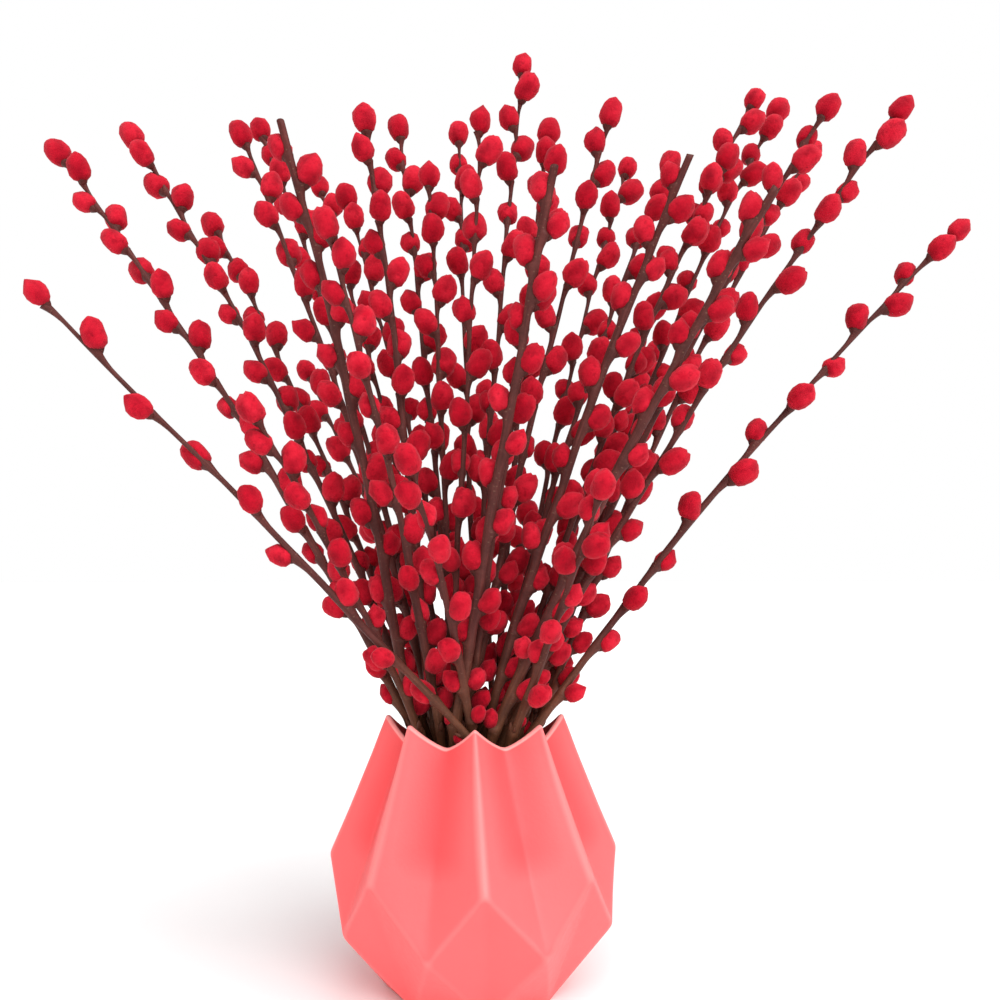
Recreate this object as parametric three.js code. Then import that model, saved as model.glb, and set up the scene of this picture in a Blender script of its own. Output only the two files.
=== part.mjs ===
// A bunch of dyed pussy-willow branches standing in a folded ceramic vase.
// Millimetres, +Z up. The origin is the middle of the vase's flat foot, and the bunch faces -Y.
// Each branch is one solid: a tapered twig that swells into its catkins. The vase is another.
import * as THREE from "three";

// ---- Vase: driving dimensions ------------------------------------------------------------------
const FOLDS = 8; // folds round the vase
const VASE_HEIGHT = 128; // foot to the points of the rim
const RIM_DIP_HEIGHT = 117; // foot to the dips between those points
const RIM_POINT_RADIUS = 45;
const RIM_DIP_RADIUS = 36.5;
const RIDGE_END = { radius: 71.5, height: 63 }; // where a ridge from a rim point ends, the widest place
const VALLEY_END = { radius: 69, height: 32.5 }; // where a valley from a rim dip ends
const FOOT_RADIUS = 44;
const VASE_TWIST = THREE.MathUtils.degToRad(7); // how far the foot is turned against the rim
const WALL = 4;
const FLOOR = 5;

// ---- Bunch: driving dimensions -----------------------------------------------------------------
const NECK_HEIGHT = 112; // level at which the stems stand closest to the rim
const NECK_RADIUS = 26.5; // the stems' middles stay inside this circle there
const NECK_SPACING = 8.2; // least distance between two stems' middles there
const STEM_START = 6.6; // height of the cut ends, just clear of the vase's floor
const SPREAD = 0.0234; // sideways growth of the bunch for each mm of height
const GAIN_ABOVE = 0.0000244; // how that growth steepens above the neck
const GAIN_BELOW = 0.0000868; // and how it eases below it, where the stems reach the vase's floor
const DEPTH_SHARE = 0.6; // front-to-back growth against sideways growth
const TURN_AT_NECK = -0.42; // turn of the bunch, which lets stems cross inside the vase and not meet
const TURN_RATE = 0.0056; // change of that turn for each mm of height
const TURN_GAIN_BELOW = 0.00003; // how the turn tightens below the neck
const SETTLING_ROUNDS = 400; // how often the stems are pushed apart in the neck
const PUSH_SHARE = 0.25; // share of the missing distance that each of two stems gives way
const LEAN_POWER = 1.25; // how late in its length a stem bends towards its own tip

// Tip of each branch [x, y, z], the stem's radius at the neck, the distance between its catkins,
// whether it ends in a cut instead of a catkin, its place [x, y] in the neck where that is set, its
// own lean power where the usual one doesn't suit it, and whether its catkins stay evenly apart.
const BRANCHES = [
  // left side, outermost first
  { tip: [-175, -96, 311], radius: 2.0, spacing: 31, neck: [5, -28], lean: 1.05, even: true },
  { tip: [-217, 20, 415], radius: 2.2, spacing: 17, lean: 1.5 },
  { tip: [-190, 52, 438], radius: 2.1, spacing: 19 },
  { tip: [-155, 90, 400], radius: 1.9, spacing: 21 },
  { tip: [-120, 10, 421], radius: 2.1, spacing: 21 },
  { tip: [-90, -50, 408], radius: 2.4, spacing: 19, cut: true },
  { tip: [-122, 62, 447], radius: 1.9, spacing: 20 },
  { tip: [-95, 104, 430], radius: 1.8, spacing: 22 },
  { tip: [-65, -60, 350], radius: 2.3, spacing: 20 },
  { tip: [-75, 80, 413], radius: 1.8, spacing: 22 },
  { tip: [-54, -20, 416], radius: 2.4, spacing: 18 },
  { tip: [-42, 40, 438], radius: 2.0, spacing: 20 },
  // middle
  { tip: [-10, 72, 449], radius: 1.8, spacing: 21 },
  { tip: [-24, 8, 399], radius: 1.9, spacing: 19 },
  { tip: [2, -30, 412], radius: 1.7, spacing: 24 },
  { tip: [25, 32, 471], radius: 1.8, spacing: 20 },
  { tip: [42, 72, 450], radius: 1.9, spacing: 21 },
  { tip: [35, -70, 380], radius: 2.5, spacing: 19, cut: true },
  { tip: [68, 0, 429], radius: 2.1, spacing: 23 },
  { tip: [36, -48, 385], radius: 2.0, spacing: 19 },
  // right side
  { tip: [107, 45, 422], radius: 1.9, spacing: 20 },
  { tip: [101, -45, 396], radius: 2.4, spacing: 21, cut: true },
  { tip: [160, 62, 468], radius: 2.2, spacing: 16 },
  { tip: [182, 92, 474], radius: 1.9, spacing: 21 },
  { tip: [132, 20, 415], radius: 2.0, spacing: 20 },
  { tip: [132, -75, 369], radius: 2.5, spacing: 21, cut: true },
  { tip: [175, -12, 429], radius: 2.2, spacing: 18 },
  { tip: [185, 42, 428], radius: 2.0, spacing: 20 },
  { tip: [92, 100, 441], radius: 1.8, spacing: 22 },
  { tip: [198, -45, 414], radius: 2.1, spacing: 21, lean: 1.1 },
  { tip: [246, 0, 372], radius: 2.1, spacing: 26, lean: 1.1 },
  // short ones that lean out at the front and the back, and fill the bunch behind the rim
  { tip: [-27, -78, 243], radius: 2.3, spacing: 19, neck: [-2, -20] },
  { tip: [-96, -62, 267], radius: 2.1, spacing: 19 },
  { tip: [52, -88, 232], radius: 2.2, spacing: 19, neck: [15, -20] },
  { tip: [6, 132, 306], radius: 2.0, spacing: 22 },
  { tip: [114, 132, 334], radius: 2.0, spacing: 22 },
  { tip: [-106, 132, 320], radius: 2.0, spacing: 22 },
  { tip: [-62, 88, 232], radius: 1.9, spacing: 17 },
  { tip: [-16, 92, 214], radius: 1.9, spacing: 17 },
  { tip: [30, 84, 226], radius: 1.9, spacing: 17 },
  { tip: [76, 88, 240], radius: 1.9, spacing: 17 },
];

const TIP_RADIUS_SHARE = 0.42; // a twig's radius at its tip against the neck
const CUT_RADIUS_SHARE = 0.72; // the same for a branch that ends in a cut
const CUT_END = 15; // bare end above the last catkin of such a branch
const BRANCH_SIDES = 4; // corners of a branch's rings
const BARE_RINGS = [28, 50, 72, 94, 116]; // heights of the rings between a stem's foot and its catkins
const CATKIN_LENGTH = 16.5;
const CATKIN_RADIUS = 6.1;
const CATKIN_BELLY = [
  { share: 0.3, width: 0.95 },
  { share: 0.7, width: 0.86 },
]; // rings of a catkin: how far along it, and how wide against its radius
const CATKIN_END_WIDTH = 0.3; // the same at the very end of a catkin on a twig's tip
const LEAST_BARE = 2; // a bare stretch shorter than this gets no ring of its own
const CATKIN_SUNK = 0.8; // how far a catkin's base lies in its twig
const CATKIN_OFFSET = 1.5; // how far beyond the twig's side the middle of its base lies
const CATKIN_SIZE_RANGE = [0.84, 1.04]; // least and greatest size against those two
const CATKIN_DEPTH_GAIN = 0.0011; // how much larger they are for each mm towards the back
const CATKIN_LEAN = THREE.MathUtils.degToRad(24); // away from the twig
const CROWDED_LENGTH = 70; // length below a tip where catkins grow closer together
const CROWDED_SHARE = 0.58; // their distance right at the tip against the usual one
const LEAST_STEP = 15.2; // but never less than this, times their size, so one ends before the next
const CATKIN_STEP_ANGLE = THREE.MathUtils.degToRad(144); // two fifths of a turn, as willow buds go
const LOWEST_CATKIN = 119; // no catkin grows below this height
const SMALL_BELOW = 230; // catkins below this height stay smaller
const SMALL_SHARE = 0.8; // size of the lowest ones against the rest
const MOUTH_RADIUS = RIM_DIP_RADIUS - WALL - 1; // room that the lowest catkins have in the vase's mouth
const CLEARANCE = 0.6; // kept between a catkin and any other branch or the rim
const SIZE_TRIES = [1, 0.86, 0.72, 0.6]; // sizes tried, in turn, where a catkin has little room
const ANGLE_TRIES = [0, 72, -72, 144, -144].map(THREE.MathUtils.degToRad); // and places round the twig

// Evenly spread values from 0 to 1, the same on every run: multiples of an irrational number.
const scatter = (n, step) => (n * step) % 1;
const GOLDEN = 0.6180339887498949;
const PLASTIC = 0.7548776662466927;
const PLASTIC_SQUARE = 0.5698402909980532;

// ---- How the bunch stands ----------------------------------------------------------------------

// The bunch is a flow: a stem that stands at [x, y] at the neck is carried to carry(z, x, y) at
// height z. Below the neck the flow turns the bunch over itself, so stems cross and never meet.
function flow(z) {
  const h = z - NECK_HEIGHT;
  const above = h > 0;
  const growth = SPREAD * h + (above ? GAIN_ABOVE : GAIN_BELOW) * h * h;
  return {
    wide: 1 + growth,
    deep: 1 + (above ? DEPTH_SHARE : 1) * growth,
    turn: TURN_AT_NECK + TURN_RATE * h - (above ? 0 : TURN_GAIN_BELOW) * h * h,
  };
}

function carry(z, x, y) {
  const { wide, deep, turn } = flow(z);
  return [wide * x - turn * y, turn * x + deep * y];
}

function carryBack(z, x, y) {
  const { wide, deep, turn } = flow(z);
  const area = wide * deep + turn * turn;
  return [(deep * x + turn * y) / area, (wide * y - turn * x) / area];
}

// Where each stem passes the neck: at its set place, or where the flow from its tip comes down, then
// pushed apart until the stems stand side by side inside the neck.
function settleNeck() {
  const places = BRANCHES.map(({ tip: [x, y, z], neck }) =>
    neck ? carryBack(NECK_HEIGHT, ...neck) : carryBack(z, x, y),
  );
  const limit = NECK_RADIUS / Math.sqrt(1 + TURN_AT_NECK * TURN_AT_NECK);
  const gap = NECK_SPACING / Math.sqrt(1 + TURN_AT_NECK * TURN_AT_NECK);
  for (let round = 0; round < SETTLING_ROUNDS; round++) {
    for (let i = 0; i < places.length; i++) {
      for (let j = i + 1; j < places.length; j++) {
        const dx = places[j][0] - places[i][0];
        const dy = places[j][1] - places[i][1];
        const apart = Math.sqrt(dx * dx + dy * dy);
        if (apart < gap) {
          const push = (PUSH_SHARE * (gap - apart)) / apart;
          if (!BRANCHES[i].neck) {
            places[i][0] -= push * dx;
            places[i][1] -= push * dy;
          }
          if (!BRANCHES[j].neck) {
            places[j][0] += push * dx;
            places[j][1] += push * dy;
          }
        }
      }
    }
    for (const place of places) {
      const out = Math.sqrt(place[0] * place[0] + place[1] * place[1]);
      if (out > limit) {
        place[0] *= limit / out;
        place[1] *= limit / out;
      }
    }
  }
  return places;
}

// A stem's middle line as a function of height.
function stemLine({ tip: [tipX, tipY, tipZ], lean = LEAN_POWER }, [x, y]) {
  const [flowX, flowY] = carry(tipZ, x, y);
  return (z) => {
    const [px, py] = carry(z, x, y);
    const share = z > NECK_HEIGHT ? ((z - NECK_HEIGHT) / (tipZ - NECK_HEIGHT)) ** lean : 0;
    return [px + share * (tipX - flowX), py + share * (tipY - flowY), z];
  };
}

const subtract = (a, b) => [a[0] - b[0], a[1] - b[1], a[2] - b[2]];
const addScaled = (a, b, s) => [a[0] + s * b[0], a[1] + s * b[1], a[2] + s * b[2]];
const dot = (a, b) => a[0] * b[0] + a[1] * b[1] + a[2] * b[2];
const unit = (a) => {
  const length = Math.sqrt(dot(a, a));
  return [a[0] / length, a[1] / length, a[2] / length];
};
const cross = (a, b) => [a[1] * b[2] - a[2] * b[1], a[2] * b[0] - a[0] * b[2], a[0] * b[1] - a[1] * b[0]];

const TANGENT_STEP = 1; // mm of height over which a stem's direction is taken
const SAMPLE_STEP = 4; // mm of height between the points that stand for a twig in a clearance test

function buildStems() {
  const neck = settleNeck();
  return BRANCHES.map((branch, i) => {
    const line = stemLine(branch, neck[i]);
    const top = branch.tip[2];
    const endShare = branch.cut ? CUT_RADIUS_SHARE : TIP_RADIUS_SHARE;
    const radius = (z) =>
      z < NECK_HEIGHT
        ? branch.radius
        : branch.radius * (1 - ((1 - endShare) * (z - NECK_HEIGHT)) / (top - NECK_HEIGHT));
    const along = (z) => unit(subtract(line(z + TANGENT_STEP), line(z - TANGENT_STEP)));
    const samples = [];
    for (let z = STEM_START; z < top; z += SAMPLE_STEP) samples.push([...line(z), radius(z)]);
    samples.push([...line(top), radius(top)]);
    return { ...branch, line, radius, along, samples, top };
  });
}

// ---- Catkins -----------------------------------------------------------------------------------

// A catkin at height z of a stem, on the side at angle round it, at size times the full size.
// The middle of its base lies just beyond the twig's side, so the twig runs on beside it.
// Its two balls stand for it in a clearance test: together they hold the whole egg shape.
function catkinAt(stem, z, angle, size, lean) {
  const along = stem.along(z);
  const sideways = unit(cross(along, [0, 1, 0]));
  const outward = cross(sideways, along);
  const side = addScaled([0, 0, 0], sideways, Math.cos(angle));
  const facing = addScaled(side, outward, Math.sin(angle));
  const axis = unit(addScaled(addScaled([0, 0, 0], along, Math.cos(lean)), facing, Math.sin(lean)));
  const half = 0.5 * CATKIN_LENGTH * size;
  const radius = CATKIN_RADIUS * size;
  const seat = addScaled(stem.line(z), facing, lean ? stem.radius(z) + CATKIN_OFFSET : 0);
  const centre = addScaled(seat, axis, half - CATKIN_SUNK);
  const reach = half - radius;
  return {
    centre,
    axis,
    half,
    radius,
    balls: [addScaled(centre, axis, reach), addScaled(centre, axis, -reach)],
  };
}

function hasRoom(catkin, own, stems, placed) {
  for (const ball of catkin.balls) {
    const low = ball[2] - catkin.radius < VASE_HEIGHT + CLEARANCE;
    if (low && Math.hypot(ball[0], ball[1]) + catkin.radius > MOUTH_RADIUS) return false;
    for (let i = 0; i < stems.length; i++) {
      if (i === own) continue;
      for (const [x, y, z, r] of stems[i].samples) {
        const d = subtract(ball, [x, y, z]);
        const least = catkin.radius + r + CLEARANCE;
        if (dot(d, d) < least * least) return false;
      }
    }
    for (const other of placed) {
      if (other.branch === own) continue;
      const least = catkin.radius + other.radius + CLEARANCE;
      for (const theirs of other.balls) {
        const d = subtract(ball, theirs);
        if (dot(d, d) < least * least) return false;
      }
    }
  }
  return true;
}

// Catkins grow from each tip downwards, two fifths of a turn apart, or on a branch with a cut end on
// its two sides by turns. One with no room moves round the twig, then comes out smaller, and where
// even that fails the bud stays closed.
function growCatkins(stems) {
  const placed = [];
  stems.forEach((stem, own) => {
    const start = stem.cut ? stem.top - CUT_END : stem.top;
    let z = start;
    for (let n = 0; z > LOWEST_CATKIN; n++) {
      const seed = own * 37 + n;
      const tipCatkin = n === 0 && !stem.cut;
      const [least, greatest] = CATKIN_SIZE_RANGE;
      const low = Math.min(1, Math.max(0, (z - LOWEST_CATKIN) / (SMALL_BELOW - LOWEST_CATKIN)));
      const deep = 1 + CATKIN_DEPTH_GAIN * stem.line(z)[1];
      const here = (SMALL_SHARE + (1 - SMALL_SHARE) * low) * deep;
      const full = (least + (greatest - least) * scatter(seed, GOLDEN)) * here;
      const angle = stem.cut
        ? n * Math.PI + 0.2 + 0.9 * scatter(seed, PLASTIC) * (n % 2 ? -1 : 1)
        : 0.9 * own + n * CATKIN_STEP_ANGLE + 0.7 * scatter(seed, PLASTIC);
      const lean = tipCatkin ? 0 : CATKIN_LEAN * (0.65 + 0.65 * scatter(seed, PLASTIC_SQUARE));
      const found = SIZE_TRIES.flatMap((s) => ANGLE_TRIES.map((a) => [s, a]))
        .map(([s, a]) => catkinAt(stem, z, angle + a, full * s, lean))
        .find((c) => hasRoom(c, own, stems, placed));
      if (found) placed.push({ ...found, branch: own, seed, z });
      const below = stem.even ? 1 : Math.min(1, (start - z) / CROWDED_LENGTH);
      const usual = stem.spacing * (CROWDED_SHARE + (1 - CROWDED_SHARE) * below);
      const step = Math.max(LEAST_STEP * here, usual * (0.85 + 0.3 * scatter(seed, PLASTIC)));
      z -= step * stem.along(z)[2];
    }
  });
  return placed;
}

// ---- Solids ------------------------------------------------------------------------------------

function closedGeometry(points, triangles) {
  const geometry = new THREE.BufferGeometry();
  geometry.setAttribute("position", new THREE.Float32BufferAttribute(points.flat(), 3));
  geometry.setIndex(triangles.flat());
  geometry.computeVertexNormals();
  return geometry;
}

// A branch's rings from foot to tip, each a middle and a radius. They follow the stem's line and
// swell out to its side at each catkin. Where two catkins touch, one ends where the next begins.
function branchRings(stem, catkins) {
  const bare = (z) => ({ middle: stem.line(z), radius: stem.radius(z) });
  const rings = [STEM_START, ...BARE_RINGS].map(bare);
  const upwards = [...catkins].sort((a, b) => a.z - b.z);
  upwards.forEach((catkin, i) => {
    const base = addScaled(catkin.centre, catkin.axis, -catkin.half);
    rings.push(bare(catkin.z));
    for (const { share, width } of CATKIN_BELLY) {
      const middle = addScaled(base, catkin.axis, 2 * catkin.half * share);
      rings.push({ middle, radius: width * catkin.radius });
    }
    const end = addScaled(catkin.centre, catkin.axis, catkin.half);
    if (end[2] > stem.top) {
      rings.push({ middle: end, radius: CATKIN_END_WIDTH * catkin.radius });
    } else if (i + 1 === upwards.length || end[2] + LEAST_BARE < upwards[i + 1].z) {
      rings.push(bare(end[2]));
    }
  });
  if (rings.at(-1).middle[2] < stem.top) rings.push(bare(stem.top));
  return rings;
}

// A closed tube through a branch's rings.
function branchGeometry(stem, catkins) {
  const rings = branchRings(stem, catkins);
  const points = rings.flatMap(({ middle, radius }) => {
    const along = stem.along(Math.min(middle[2], stem.top));
    const sideways = unit(cross(along, [0, 1, 0]));
    const outward = cross(sideways, along);
    return Array.from({ length: BRANCH_SIDES }, (_, side) => {
      const angle = (2 * Math.PI * side) / BRANCH_SIDES;
      const out = addScaled(addScaled([0, 0, 0], sideways, Math.cos(angle)), outward, Math.sin(angle));
      return addScaled(middle, out, radius);
    });
  });
  const triangles = [];
  for (let ring = 0; ring < rings.length - 1; ring++) {
    for (let side = 0; side < BRANCH_SIDES; side++) {
      const a = ring * BRANCH_SIDES + side;
      const b = ring * BRANCH_SIDES + ((side + 1) % BRANCH_SIDES);
      triangles.push([a, a + BRANCH_SIDES, b], [b, a + BRANCH_SIDES, b + BRANCH_SIDES]);
    }
  }
  const last = (rings.length - 1) * BRANCH_SIDES;
  for (let side = 1; side < BRANCH_SIDES - 1; side++) {
    triangles.push([0, side, side + 1], [last, last + side + 1, last + side]);
  }
  return closedGeometry(points, triangles);
}

// The rings of the vase's skin, drawn in by inset and with the base at floorHeight. A ring is a
// list of points, one for each fold, and half is half a fold.
function vaseRings(inset, floorHeight) {
  const ring = (radius, height, half) =>
    Array.from({ length: FOLDS }, (_, k) => {
      const twist = VASE_TWIST * (1 - height / VASE_HEIGHT);
      const angle = (2 * Math.PI * (k + (half ? 0.5 : 0))) / FOLDS + twist;
      return [(radius - inset) * Math.cos(angle), (radius - inset) * Math.sin(angle), height];
    });
  return {
    point: ring(RIM_POINT_RADIUS, VASE_HEIGHT, false),
    dip: ring(RIM_DIP_RADIUS, RIM_DIP_HEIGHT, true),
    ridgeEnd: ring(RIDGE_END.radius, RIDGE_END.height, false),
    valleyEnd: ring(VALLEY_END.radius, VALLEY_END.height, true),
    foot: ring(FOOT_RADIUS, floorHeight, false),
    middle: [[0, 0, floorHeight]],
  };
}

function vaseGeometry() {
  const skins = [vaseRings(0, 0), vaseRings(WALL, FLOOR)];
  const points = skins.flatMap((s) => Object.values(s).flat());
  const perSkin = 5 * FOLDS + 1;
  const names = ["point", "dip", "ridgeEnd", "valleyEnd", "foot"];
  const at = (skin, name, k) => skin * perSkin + names.indexOf(name) * FOLDS + ((k + FOLDS) % FOLDS);
  const triangles = [];
  for (const skin of [0, 1]) {
    const middle = skin * perSkin + 5 * FOLDS;
    for (let k = 0; k < FOLDS; k++) {
      const faces = [
        [at(skin, "point", k), at(skin, "valleyEnd", k), at(skin, "dip", k)],
        [at(skin, "point", k), at(skin, "ridgeEnd", k), at(skin, "valleyEnd", k)],
        [at(skin, "dip", k), at(skin, "ridgeEnd", k + 1), at(skin, "point", k + 1)],
        [at(skin, "dip", k), at(skin, "valleyEnd", k), at(skin, "ridgeEnd", k + 1)],
        [at(skin, "ridgeEnd", k), at(skin, "valleyEnd", k - 1), at(skin, "valleyEnd", k)],
        [at(skin, "foot", k), at(skin, "valleyEnd", k), at(skin, "valleyEnd", k - 1)],
        [at(skin, "valleyEnd", k), at(skin, "foot", k), at(skin, "foot", k + 1)],
        [at(skin, "foot", k + 1), at(skin, "foot", k), middle],
      ];
      triangles.push(...faces.map((f) => (skin ? [f[0], f[2], f[1]] : f)));
    }
  }
  for (let k = 0; k < FOLDS; k++) {
    for (const [from, to, next] of [
      ["point", "dip", k],
      ["dip", "point", k + 1],
    ]) {
      triangles.push([at(0, from, k), at(0, to, next), at(1, from, k)]);
      triangles.push([at(1, from, k), at(0, to, next), at(1, to, next)]);
    }
  }
  return closedGeometry(points, triangles);
}

// ---- Scene -------------------------------------------------------------------------------------
const glaze = new THREE.MeshStandardMaterial({ color: 0xfb7274, roughness: 0.35, metalness: 0 });
const dyedWillow = new THREE.MeshStandardMaterial({ color: 0xb0122a, roughness: 0.85, metalness: 0 });

const bunch = new THREE.Group();

const vase = new THREE.Mesh(vaseGeometry(), glaze);
vase.name = "vase";
bunch.add(vase);

const stems = buildStems();
const catkins = growCatkins(stems);
stems.forEach((stem, i) => {
  const own = catkins.filter((catkin) => catkin.branch === i);
  const branch = new THREE.Mesh(branchGeometry(stem, own), dyedWillow);
  branch.name = `branch_${String(i + 1).padStart(2, "0")}`;
  bunch.add(branch);
});

export default bunch;
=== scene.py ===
"""A bunch of dyed pussy-willow branches in a folded ceramic vase: the visible surfaces and finishes.

The sizes of the bunch are in millimetres, as the branches are laid out. Meshes are in metres.
"""

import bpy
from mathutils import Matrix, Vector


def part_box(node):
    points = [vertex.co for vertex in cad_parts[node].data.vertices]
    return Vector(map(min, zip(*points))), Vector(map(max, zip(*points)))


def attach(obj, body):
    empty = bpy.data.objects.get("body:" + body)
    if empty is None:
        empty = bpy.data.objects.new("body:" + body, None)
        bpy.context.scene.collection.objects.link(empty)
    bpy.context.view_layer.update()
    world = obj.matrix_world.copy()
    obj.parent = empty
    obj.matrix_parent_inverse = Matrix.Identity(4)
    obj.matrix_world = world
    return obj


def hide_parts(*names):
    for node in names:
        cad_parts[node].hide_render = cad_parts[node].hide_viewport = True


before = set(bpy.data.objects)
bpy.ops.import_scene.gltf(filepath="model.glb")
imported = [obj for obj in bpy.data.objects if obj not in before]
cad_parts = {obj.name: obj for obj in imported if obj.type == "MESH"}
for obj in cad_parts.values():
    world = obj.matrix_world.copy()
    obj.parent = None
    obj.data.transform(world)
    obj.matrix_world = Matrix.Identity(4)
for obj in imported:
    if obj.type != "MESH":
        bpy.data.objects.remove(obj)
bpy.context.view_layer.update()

import math

import bpy
import numpy as np
from bpy.props import FloatProperty, FloatVectorProperty, PointerProperty
from mathutils import Vector

bl_info = {
    "name": "Willow Bunch",
    "version": (1, 0, 0),
    "blender": (4, 5, 0),
    "location": "View3D > Sidebar > Willow",
    "description": "Builds a bunch of pussy-willow branches in a folded ceramic vase",
    "category": "Add Mesh",
}

MM = 0.001
ROOT = "root"  # the one body that every piece rides on

# ---- Vase: driving dimensions, in millimetres ---------------------------------------------------
FOLDS = 8
VASE_HEIGHT = 128.0
RIM_DIP_HEIGHT = 117.0
RIM_POINT_RADIUS = 45.0
RIM_DIP_RADIUS = 36.5
RIDGE_END = (71.5, 63.0)  # radius and height
VALLEY_END = (69.0, 32.5)
FOOT_RADIUS = 44.0
VASE_TWIST = math.radians(7)
WALL = 4.0
FLOOR = 5.0

# ---- Bunch: driving dimensions, in millimetres --------------------------------------------------
NECK_HEIGHT = 112.0
NECK_RADIUS = 26.5
NECK_SPACING = 8.2
STEM_START = 6.6
SPREAD = 0.0234
GAIN_ABOVE = 0.0000244
GAIN_BELOW = 0.0000868
DEPTH_SHARE = 0.6
TURN_AT_NECK = -0.42
TURN_RATE = 0.0056
TURN_GAIN_BELOW = 0.00003
SETTLING_ROUNDS = 400
PUSH_SHARE = 0.25
LEAN_POWER = 1.25

# Tip of each branch, its radius at the neck, the distance between its catkins, whether it ends in a
# cut, its place in the neck where that is set, and its own lean power where it has one.
BRANCHES = [
    # left side, outermost first
    {"tip": (-175, -96, 311), "radius": 2.0, "spacing": 31, "neck": (5, -28), "lean": 1.05,
     "even": True},
    {"tip": (-217, 20, 415), "radius": 2.2, "spacing": 17, "lean": 1.5},
    {"tip": (-190, 52, 438), "radius": 2.1, "spacing": 19},
    {"tip": (-155, 90, 400), "radius": 1.9, "spacing": 21},
    {"tip": (-120, 10, 421), "radius": 2.1, "spacing": 21},
    {"tip": (-90, -50, 408), "radius": 2.4, "spacing": 19, "cut": True},
    {"tip": (-122, 62, 447), "radius": 1.9, "spacing": 20},
    {"tip": (-95, 104, 430), "radius": 1.8, "spacing": 22},
    {"tip": (-65, -60, 350), "radius": 2.3, "spacing": 20},
    {"tip": (-75, 80, 413), "radius": 1.8, "spacing": 22},
    {"tip": (-54, -20, 416), "radius": 2.4, "spacing": 18},
    {"tip": (-42, 40, 438), "radius": 2.0, "spacing": 20},
    # middle
    {"tip": (-10, 72, 449), "radius": 1.8, "spacing": 21},
    {"tip": (-24, 8, 399), "radius": 1.9, "spacing": 19},
    {"tip": (2, -30, 412), "radius": 1.7, "spacing": 24},
    {"tip": (25, 32, 471), "radius": 1.8, "spacing": 20},
    {"tip": (42, 72, 450), "radius": 1.9, "spacing": 21},
    {"tip": (35, -70, 380), "radius": 2.5, "spacing": 19, "cut": True},
    {"tip": (68, 0, 429), "radius": 2.1, "spacing": 23},
    {"tip": (36, -48, 385), "radius": 2.0, "spacing": 19},
    # right side
    {"tip": (107, 45, 422), "radius": 1.9, "spacing": 20},
    {"tip": (101, -45, 396), "radius": 2.4, "spacing": 21, "cut": True},
    {"tip": (160, 62, 468), "radius": 2.2, "spacing": 16},
    {"tip": (182, 92, 474), "radius": 1.9, "spacing": 21},
    {"tip": (132, 20, 415), "radius": 2.0, "spacing": 20},
    {"tip": (132, -75, 369), "radius": 2.5, "spacing": 21, "cut": True},
    {"tip": (175, -12, 429), "radius": 2.2, "spacing": 18},
    {"tip": (185, 42, 428), "radius": 2.0, "spacing": 20},
    {"tip": (92, 100, 441), "radius": 1.8, "spacing": 22},
    {"tip": (198, -45, 414), "radius": 2.1, "spacing": 21, "lean": 1.1},
    {"tip": (246, 0, 372), "radius": 2.1, "spacing": 26, "lean": 1.1},
    # short ones that lean out at the front and the back, and fill the bunch behind the rim
    {"tip": (-27, -78, 243), "radius": 2.3, "spacing": 19, "neck": (-2, -20)},
    {"tip": (-96, -62, 267), "radius": 2.1, "spacing": 19},
    {"tip": (52, -88, 232), "radius": 2.2, "spacing": 19, "neck": (15, -20)},
    {"tip": (6, 132, 306), "radius": 2.0, "spacing": 22},
    {"tip": (114, 132, 334), "radius": 2.0, "spacing": 22},
    {"tip": (-106, 132, 320), "radius": 2.0, "spacing": 22},
    {"tip": (-62, 88, 232), "radius": 1.9, "spacing": 17},
    {"tip": (-16, 92, 214), "radius": 1.9, "spacing": 17},
    {"tip": (30, 84, 226), "radius": 1.9, "spacing": 17},
    {"tip": (76, 88, 240), "radius": 1.9, "spacing": 17},
]

TIP_RADIUS_SHARE = 0.42
CUT_RADIUS_SHARE = 0.72
CUT_END = 15.0
CATKIN_LENGTH = 16.5
CATKIN_RADIUS = 6.1
CATKIN_SUNK = 0.8
CATKIN_OFFSET = 1.5
CATKIN_SIZE_RANGE = (0.84, 1.04)
CATKIN_DEPTH_GAIN = 0.0011
CATKIN_LEAN = math.radians(24)
CROWDED_LENGTH = 70.0
CROWDED_SHARE = 0.58
LEAST_STEP = 15.2
CATKIN_STEP_ANGLE = math.radians(144)
LOWEST_CATKIN = 119.0
SMALL_BELOW = 230.0
SMALL_SHARE = 0.8
MOUTH_RADIUS = RIM_DIP_RADIUS - WALL - 1
CLEARANCE = 0.6
SIZE_TRIES = (1, 0.86, 0.72, 0.6)
ANGLE_TRIES = tuple(math.radians(a) for a in (0, 72, -72, 144, -144))
GOLDEN = 0.6180339887498949
PLASTIC = 0.7548776662466927
PLASTIC_SQUARE = 0.5698402909980532
TANGENT_STEP = 1.0
SAMPLE_STEP = 4.0
LEAST_LEAN = 0.65  # a catkin's lean as a share of the usual one, from this to this plus the range
LEAN_RANGE = 0.65
LEAST_SPACING = 0.85  # the step to the next catkin as a share of the usual one, in the same way
SPACING_RANGE = 0.3
LAYOUT_SLACK = 3.0  # two cut tips stand up to 1.7 mm outside their nodes, which end in a catkin there


# ---- How the bunch stands -----------------------------------------------------------------------


def scatter(n, step):
    """Evenly spread values from 0 to 1: the fraction left of n times an irrational number."""
    return (n * step) % 1


def flow(z):
    """Width, depth and turn of the bunch at height z: one plus a growth that is linear and square in
    the height over the neck, and a turn that is linear above the neck and also square below it."""
    h = z - NECK_HEIGHT
    above = h > 0
    growth = SPREAD * h + np.where(above, GAIN_ABOVE, GAIN_BELOW) * h * h
    deep = 1 + np.where(above, DEPTH_SHARE, 1) * growth
    turn = TURN_AT_NECK + TURN_RATE * h - np.where(above, 0, TURN_GAIN_BELOW) * h * h
    return 1 + growth, deep, turn


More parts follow.
